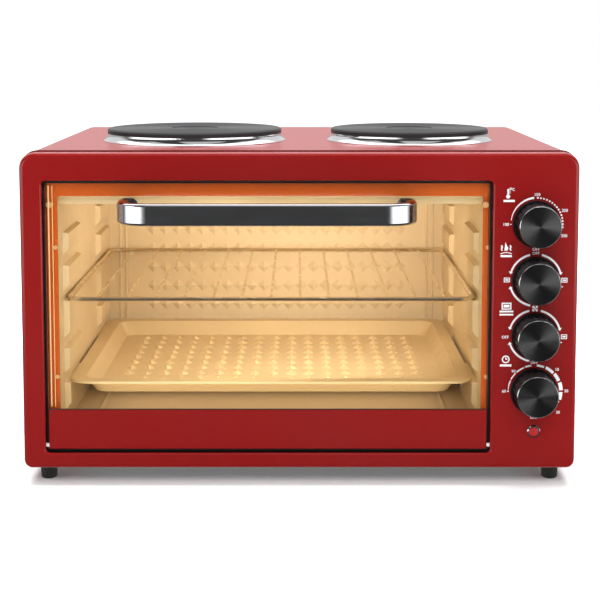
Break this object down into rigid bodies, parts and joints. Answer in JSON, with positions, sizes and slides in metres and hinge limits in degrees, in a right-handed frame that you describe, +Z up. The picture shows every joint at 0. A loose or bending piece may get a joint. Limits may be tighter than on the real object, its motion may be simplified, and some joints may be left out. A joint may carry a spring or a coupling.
{
  "type": "mini oven with hotplates",
  "caption": "Table-top oven with a drop-down glass door, wire rack and baking tray, a column of control knobs, and sealed hotplates on its roof.",
  "frame": {"origin": "on the ground, below the middle of the whole object's box", "axes": "+Z up from the feet, -Y out of the door, +X towards the controls (to the right of a person facing the door)"},
  "size_m": [0.53, 0.434, 0.3356],
  "materials": {
    "body_red": "gloss red enamel paint",
    "zinc_sheet": "zinc-plated sheet, satin",
    "bright_screws": "bright zinc",
    "chamber_enamel": "warm grey satin enamel on steel",
    "element_steel": "heat-darkened steel tube",
    "ceramic": null,
    "cast_plate": "black heat-proof coating over turning marks",
    "bright_ring": "bright spun steel",
    "door_glass": "clear toughened glass",
    "black_rubber": "black, dull",
    "pale_rubber": "pale silicone",
    "handle_chrome": "polished",
    "black_plastic": "black, fine grain",
    "lamp_red": "clear red",
    "knob_black": "black, satin",
    "knob_disc": "spun aluminium",
    "rack_chrome": "bright wire",
    "tray_enamel": "black speckled enamel"
  },
  "bodies": {
    "oven": {"front_frame": "body_red", "outer_casing": "body_red", "base_plate": "zinc_sheet", "rear_panel": "zinc_sheet", "rear_screws": "bright_screws", "chamber_left_wall": "chamber_enamel", "chamber_right_wall": "chamber_enamel", "chamber_back_wall": "chamber_enamel", "chamber_ceiling": "chamber_enamel", "chamber_floor": "chamber_enamel", "flange_screws": "bright_screws", "upper_heating_element": "element_steel", "lower_heating_element": "element_steel", "element_bushes": "ceramic", "element_hooks": "zinc_sheet", "hotplate_left": "cast_plate", "hotplate_right": "cast_plate", "hotplate_ring_left": "bright_ring", "hotplate_ring_right": "bright_ring", "hotplate_covers": "zinc_sheet", "hotplate_straps": "zinc_sheet", "hotplate_studs": "bright_screws", "hinge_springs": "zinc_sheet", "door_bumpers": "pale_rubber", "pilot_bezel": "bright_ring", "pilot_lens": "lamp_red", "pilot_holder": "black_plastic", "feet": "black_rubber", "foot_screws": "bright_screws", "cable_gland": "black_plastic", "terminal_block": "ceramic", "heat_shield": "zinc_sheet", "thermostat_control": "zinc_sheet", "hotplate_selector_control": "zinc_sheet", "function_selector_control": "zinc_sheet", "timer_control": "zinc_sheet"},
    "door": {"door_glass": "door_glass", "door_panel": "body_red", "door_seal": "black_rubber", "door_rail": "zinc_sheet", "hinge_pins": "bright_screws", "hinge_arm_left": "zinc_sheet", "hinge_arm_right": "zinc_sheet", "door_handle": "handle_chrome", "handle_screws": "bright_screws"},
    "rack": {"wire_rack": "rack_chrome"},
    "tray": {"baking_tray": "tray_enamel"},
    "thermostat": {"thermostat_knob": "knob_black", "thermostat_disc": "knob_disc", "thermostat_shaft": "bright_screws"},
    "hotplate_selector": {"hotplate_selector_knob": "knob_black", "hotplate_selector_disc": "knob_disc", "hotplate_selector_shaft": "bright_screws"},
    "function_selector": {"function_selector_knob": "knob_black", "function_selector_disc": "knob_disc", "function_selector_shaft": "bright_screws"},
    "timer": {"timer_knob": "knob_black", "timer_disc": "knob_disc", "timer_shaft": "bright_screws"}
  },
  "joints": [
    {"name": "door_hinge", "type": "hinge", "parent": "oven", "child": "door", "pos_m": [-0.03025, -0.169, 0.0391], "axis": [1, 0, 0], "range_deg": [0, 85], "stiffness_Nm_per_rad": 0.8, "springref_deg": -22.92, "deforming": ["hinge_springs"]},
    {"name": "thermostat_turn", "type": "hinge", "parent": "oven", "child": "thermostat", "pos_m": [0.2244, -0.175, 0.255], "axis": [0, 1, 0], "range_deg": [0, 270]},
    {"name": "hotplate_selector_turn", "type": "hinge", "parent": "oven", "child": "hotplate_selector", "pos_m": [0.2244, -0.175, 0.2012], "axis": [0, 1, 0], "continuous": true},
    {"name": "function_selector_turn", "type": "hinge", "parent": "oven", "child": "function_selector", "pos_m": [0.2244, -0.175, 0.1474], "axis": [0, 1, 0], "continuous": true},
    {"name": "timer_turn", "type": "hinge", "parent": "oven", "child": "timer", "pos_m": [0.2244, -0.175, 0.0936], "axis": [0, 1, 0], "range_deg": [0, 320]},
    {"name": "rack_slide", "type": "slide", "parent": "oven", "child": "rack", "axis": [0, -1, 0], "range_m": [0, 0.2]},
    {"name": "tray_slide", "type": "slide", "parent": "oven", "child": "tray", "axis": [0, -1, 0], "range_m": [0, 0.14]}
  ],
  "couplings": [
    {"joint": "rack_slide", "follows": "door_hinge", "m_per_rad": 0.13},
    {"joint": "tray_slide", "follows": "door_hinge", "m_per_rad": 0.09}
  ]
}
